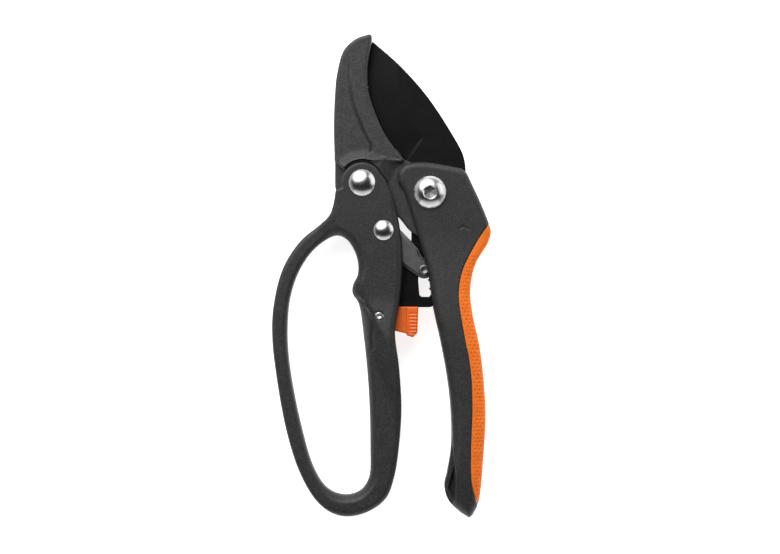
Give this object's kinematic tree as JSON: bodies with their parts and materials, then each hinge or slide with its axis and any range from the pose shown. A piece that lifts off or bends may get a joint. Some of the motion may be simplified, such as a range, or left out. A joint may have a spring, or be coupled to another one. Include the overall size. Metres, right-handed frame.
{
  "type": "anvil pruner",
  "caption": "Hand pruner that cuts a stem on a flat anvil jaw, with a ratchet link, a thumb lock and a closed finger loop on one handle.",
  "frame": {"origin": "on the main pivot's axis, at the flat end of the pivot bolt, on which the tool rests when it lies on its back", "axes": "+Y along the tool towards the blade's tip, +X towards the grip side, +Z along the pivot axes towards the bolt's head"},
  "size_m": [0.0952, 0.2102, 0.0233],
  "materials": {
    "handle_coat": "charcoal textured powder coat on die-cast aluminium",
    "jaw_coat": "charcoal textured powder coat on die-cast aluminium",
    "blade_coat": "black non-stick coat on ground steel",
    "satin_steel": "satin",
    "chrome": "polished",
    "grip_rubber": "soft orange thermoplastic rubber with small dimples",
    "latch_plastic": "satin moulded orange plastic",
    "anvil_metal": "satin",
    "nylon": "natural nylon"
  },
  "bodies": {
    "blade_side": {"right_handle": "handle_coat", "grip_insert": "grip_rubber", "blade": "blade_coat", "pivot_bolt": "chrome", "pivot_bush": "satin_steel", "pivot_washer": "chrome", "pivot_nut": "chrome"},
    "jaw_side": {"anvil_jaw": "jaw_coat", "anvil_pad": "anvil_metal", "jaw_rivet": "chrome", "jaw_rivet_washer": "satin_steel"},
    "loop_side": {"left_handle": "handle_coat", "latch_pin": "chrome", "link_rivet": "chrome", "link_rivet_washer": "satin_steel", "opening_spring": "satin_steel"},
    "ratchet_link": {"link_front": "satin_steel", "link_rear": "satin_steel", "link_spacer_front": "nylon", "link_spacer_rear": "nylon", "ratchet_pin": "satin_steel", "spring_sleeve": "satin_steel"},
    "thumb_latch": {"latch": "latch_plastic"}
  },
  "joints": [
    {"name": "jaw_open", "type": "hinge", "parent": "blade_side", "child": "jaw_side", "pos_m": [0, 0, 0.0112], "axis": [0, 0, 1], "range_deg": [0, 28]},
    {"name": "handle_swing", "type": "hinge", "parent": "jaw_side", "child": "loop_side", "pos_m": [-0.0294, 0.0042, 0.0112], "axis": [0, 0, 1], "range_deg": [-46, 0]},
    {"name": "link_swing", "type": "hinge", "parent": "loop_side", "child": "ratchet_link", "pos_m": [-0.0201, -0.0164, 0.0112], "axis": [0, 0, 1], "range_deg": [0, 38]},
    {"name": "latch_release", "type": "hinge", "parent": "loop_side", "child": "thumb_latch", "pos_m": [-0.022, -0.0535, 0.0112], "axis": [0, 0, 1], "range_deg": [-22, 0]}
  ],
  "couplings": [
    {"joint": "handle_swing", "follows": "jaw_open", "ratio": -1.63},
    {"joint": "link_swing", "follows": "jaw_open", "ratio": 1.35}
  ]
}
